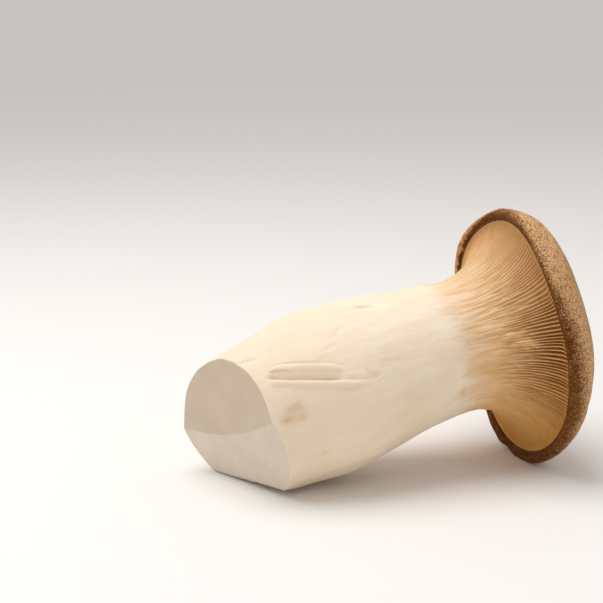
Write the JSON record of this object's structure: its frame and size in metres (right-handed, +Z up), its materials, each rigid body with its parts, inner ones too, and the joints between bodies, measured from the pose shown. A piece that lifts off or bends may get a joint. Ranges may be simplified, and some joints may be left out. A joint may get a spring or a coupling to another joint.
{
  "type": "king oyster mushroom",
  "caption": "Whole king oyster mushroom lying on its side: thick pale stem with a knife-trimmed base, gills running down onto the stem, and a brown cap with a rolled margin.",
  "frame": {"origin": "centre of the bounding box, on the surface that the mushroom lies on", "axes": "+X along the mushroom from the trimmed base to the cap, +Z up, -Y the side with the scar in the stem"},
  "size_m": [0.1042, 0.0704, 0.0705],
  "materials": {
    "mushroom_flesh": "matt, slightly moist pale flesh"
  },
  "bodies": {
    "root": {"mushroom": "mushroom_flesh"}
  },
  "joints": []
}
